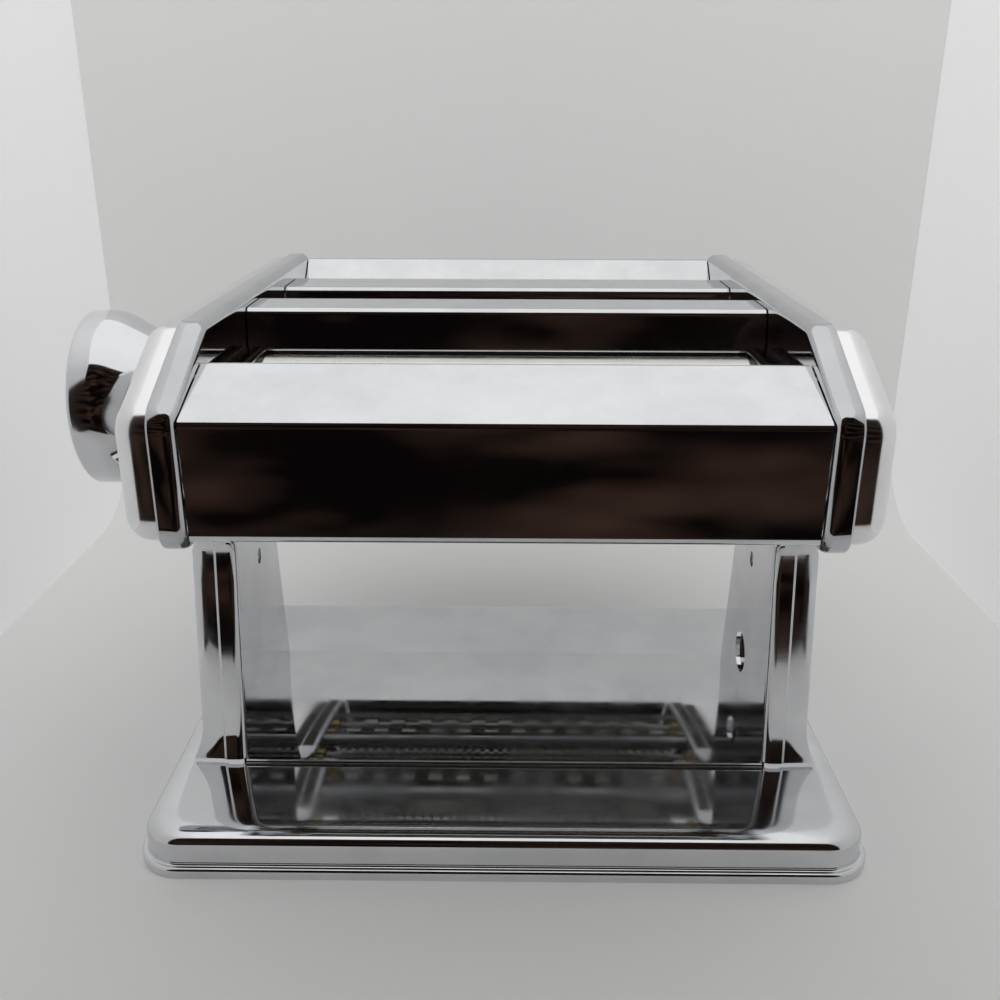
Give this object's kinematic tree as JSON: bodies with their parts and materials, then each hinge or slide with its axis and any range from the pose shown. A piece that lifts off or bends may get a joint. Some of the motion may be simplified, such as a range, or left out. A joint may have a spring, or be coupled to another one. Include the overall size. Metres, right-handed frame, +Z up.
{
  "type": "pasta machine",
  "caption": "Chromed hand cranked pasta machine: head with smooth rollers, two ring cutter pairs and a thickness knob, on a two-legged stand and pressed base.",
  "frame": {"origin": "on the table, under the middle of the base", "axes": "+X along the rollers towards the crank side, +Y from the front hood to the back, +Z up"},
  "size_m": [0.2365, 0.2225, 0.155],
  "materials": {
    "chrome_sheet": "mirror chrome plate on pressed steel sheet",
    "satin_cover": "satin chrome plate",
    "satin_roller": "fine turned, nickel plated",
    "plain_steel": "zinc plated",
    "bearing_brass": "turned",
    "spring_wire": "drawn wire"
  },
  "bodies": {
    "machine": {"base_pan": "chrome_sheet", "stand_plate": "chrome_sheet", "left_leg": "chrome_sheet", "right_leg": "chrome_sheet", "base_screws": "plain_steel", "leg_rivets": "plain_steel", "left_side_frame": "chrome_sheet", "right_side_frame": "chrome_sheet", "front_hood": "chrome_sheet", "middle_cover": "chrome_sheet", "rear_cover": "chrome_sheet", "rear_hood": "chrome_sheet", "left_end_cover": "satin_cover", "right_end_cover": "satin_cover", "tie_rods": "plain_steel", "tie_rod_nuts": "plain_steel", "left_roller_guard": "chrome_sheet", "right_roller_guard": "chrome_sheet", "front_scraper": "plain_steel", "rear_scraper": "plain_steel", "fine_front_comb": "plain_steel", "fine_rear_comb": "plain_steel", "wide_front_comb": "plain_steel", "wide_rear_comb": "plain_steel", "roller_bearings": "bearing_brass", "cutter_bearings": "bearing_brass"},
    "front_roller": {"front_roller": "satin_roller", "front_roller_gear": "plain_steel"},
    "regulator": {"left_eccentric": "plain_steel", "right_eccentric": "plain_steel", "eccentric_link": "plain_steel", "spindle_washer": "plain_steel", "knob_spring": "spring_wire"},
    "bushes": {"roller_bushes": "bearing_brass"},
    "rear_roller": {"rear_roller": "satin_roller", "rear_roller_gear": "plain_steel"},
    "knob": {"regulator_knob": "chrome_sheet", "knob_cap": "chrome_sheet", "index_pin": "plain_steel"},
    "fine_front": {"fine_front_cutter": "satin_roller", "fine_front_gear": "plain_steel"},
    "fine_rear": {"fine_rear_cutter": "satin_roller", "fine_rear_gear": "plain_steel"},
    "wide_front": {"wide_front_cutter": "satin_roller", "wide_front_gear": "plain_steel"},
    "wide_rear": {"wide_rear_cutter": "satin_roller", "wide_rear_gear": "plain_steel"}
  },
  "joints": [
    {"name": "front_roller_spin", "type": "hinge", "parent": "machine", "child": "front_roller", "pos_m": [0, -0.0371, 0.123], "axis": [1, 0, 0], "continuous": true},
    {"name": "regulator_turn", "type": "hinge", "parent": "machine", "child": "regulator", "pos_m": [0, -0.0055, 0.1246], "axis": [1, 0, 0], "range_deg": [-52, 52]},
    {"name": "bush_float", "type": "hinge", "parent": "regulator", "child": "bushes", "pos_m": [0, -0.0055, 0.123], "axis": [1, 0, 0], "range_deg": [-52, 52]},
    {"name": "rear_roller_spin", "type": "hinge", "parent": "bushes", "child": "rear_roller", "pos_m": [0, -0.0055, 0.123], "axis": [1, 0, 0], "continuous": true},
    {"name": "knob_pull", "type": "slide", "parent": "regulator", "child": "knob", "axis": [-1, 0, 0], "range_m": [0, 0.004], "stiffness_N_per_m": 900, "springref_m": -0.003, "deforming": ["knob_spring"]},
    {"name": "fine_cutter_spin", "type": "hinge", "parent": "machine", "child": "fine_front", "pos_m": [0, 0.03548, 0.118], "axis": [1, 0, 0], "continuous": true},
    {"name": "fine_mate_spin", "type": "hinge", "parent": "machine", "child": "fine_rear", "pos_m": [0, 0.05448, 0.118], "axis": [1, 0, 0], "continuous": true},
    {"name": "wide_cutter_spin", "type": "hinge", "parent": "machine", "child": "wide_front", "pos_m": [0, 0.08545, 0.118], "axis": [1, 0, 0], "continuous": true},
    {"name": "wide_mate_spin", "type": "hinge", "parent": "machine", "child": "wide_rear", "pos_m": [0, 0.10445, 0.118], "axis": [1, 0, 0], "continuous": true}
  ],
  "couplings": [
    {"joint": "bush_float", "follows": "regulator_turn", "ratio": -1},
    {"joint": "rear_roller_spin", "follows": "front_roller_spin", "ratio": -1},
    {"joint": "fine_mate_spin", "follows": "fine_cutter_spin", "ratio": -1},
    {"joint": "wide_mate_spin", "follows": "wide_cutter_spin", "ratio": -1}
  ]
}
